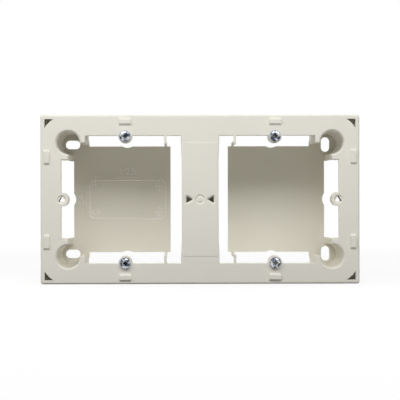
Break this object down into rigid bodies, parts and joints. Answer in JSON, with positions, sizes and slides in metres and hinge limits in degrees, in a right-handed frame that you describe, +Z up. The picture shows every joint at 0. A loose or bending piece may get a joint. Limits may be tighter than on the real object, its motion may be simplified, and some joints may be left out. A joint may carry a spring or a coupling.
{
  "type": "double surface mount box",
  "caption": "Shallow rectangular moulded box, open to the front and back, that holds device inserts side by side on a wall.",
  "frame": {"origin": "middle of the surface that the box stands on, the underside of its lower long wall, halfway between the screw heads' tops and the wall side", "axes": "+X along the long side to the right as seen from the front, +Y from the front to the wall, +Z up"},
  "size_m": [0.151, 0.0442, 0.08],
  "materials": {
    "housing": "fine satin off-white moulding",
    "screws": "bright zinc plate"
  },
  "bodies": {
    "root": {"housing": "housing", "device_screws": "screws"}
  },
  "joints": []
}
